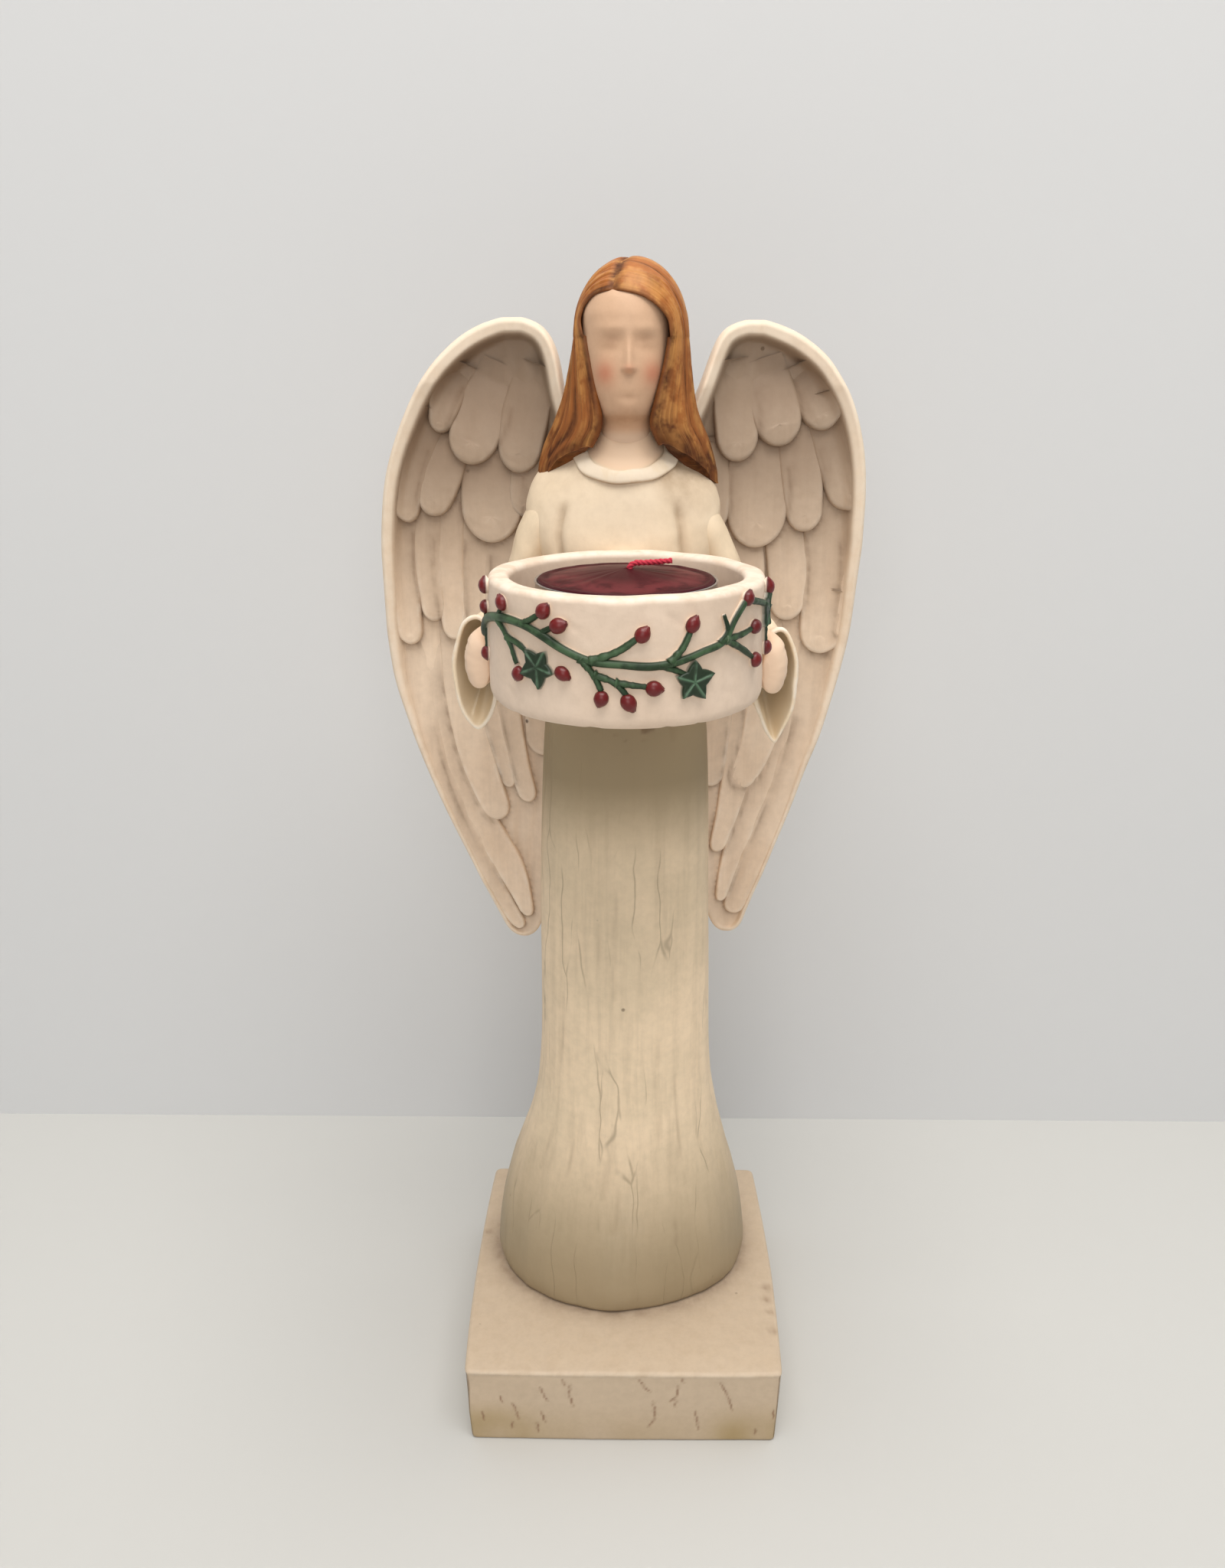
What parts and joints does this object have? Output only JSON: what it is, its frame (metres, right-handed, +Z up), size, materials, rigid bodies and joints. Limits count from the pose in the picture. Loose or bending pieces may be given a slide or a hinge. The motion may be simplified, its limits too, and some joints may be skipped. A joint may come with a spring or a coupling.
{
  "type": "angel candle holder",
  "caption": "Standing winged angel on a square plinth, holding out a round garlanded cup with a tealight candle in it.",
  "frame": {"origin": "centre of the plinth footprint, on the floor", "axes": "+Z up, the figure faces -Y, +X to the right of a viewer facing it"},
  "size_m": [0.1231, 0.1177, 0.3044],
  "materials": {
    "plinth": "pinkish beige cast resin, washed and cracked",
    "dress": "grey-beige cast resin with a wood-like wash",
    "bodice": "cream painted cast resin",
    "sleeve": "cream painted cast resin, greenish wash in the folds",
    "skin": "matt painted skin tone",
    "hair": "copper brown paint with dark strands and gold highlights",
    "wing": "pinkish cream paint with an antique wash",
    "feather": "pinkish cream paint, darker wash between feathers",
    "cup": "warm pinkish white, slightly uneven",
    "vine": "dark green paint on raised stems",
    "berry": "dark red gloss paint",
    "leaf": "dark green paint with a raised midrib",
    "shell": "thin clear shell",
    "wax": "dark wine red wax",
    "tab": "thin tinned steel",
    "wick": "waxed cotton, dyed red"
  },
  "bodies": {
    "figure": {"plinth": "plinth", "skirt": "dress", "bodice": "bodice", "collar": "bodice", "left_sleeve": "sleeve", "right_sleeve": "sleeve", "left_hand": "skin", "right_hand": "skin", "head": "skin", "hair": "hair", "left_wing": "wing", "right_wing": "wing", "left_primaries": "feather", "right_primaries": "feather", "left_secondaries": "feather", "right_secondaries": "feather", "left_coverts": "feather", "right_coverts": "feather", "cup": "cup", "vine": "vine", "berries": "berry", "ivy_leaves": "leaf"},
    "candle": {"candle_shell": "shell", "candle_wax": "wax", "wick_tab": "tab", "wick": "wick"}
  },
  "joints": [
    {"name": "candle_lift", "type": "slide", "parent": "figure", "child": "candle", "axis": [0, 0, 1], "range_m": [0, 0.05]}
  ]
}
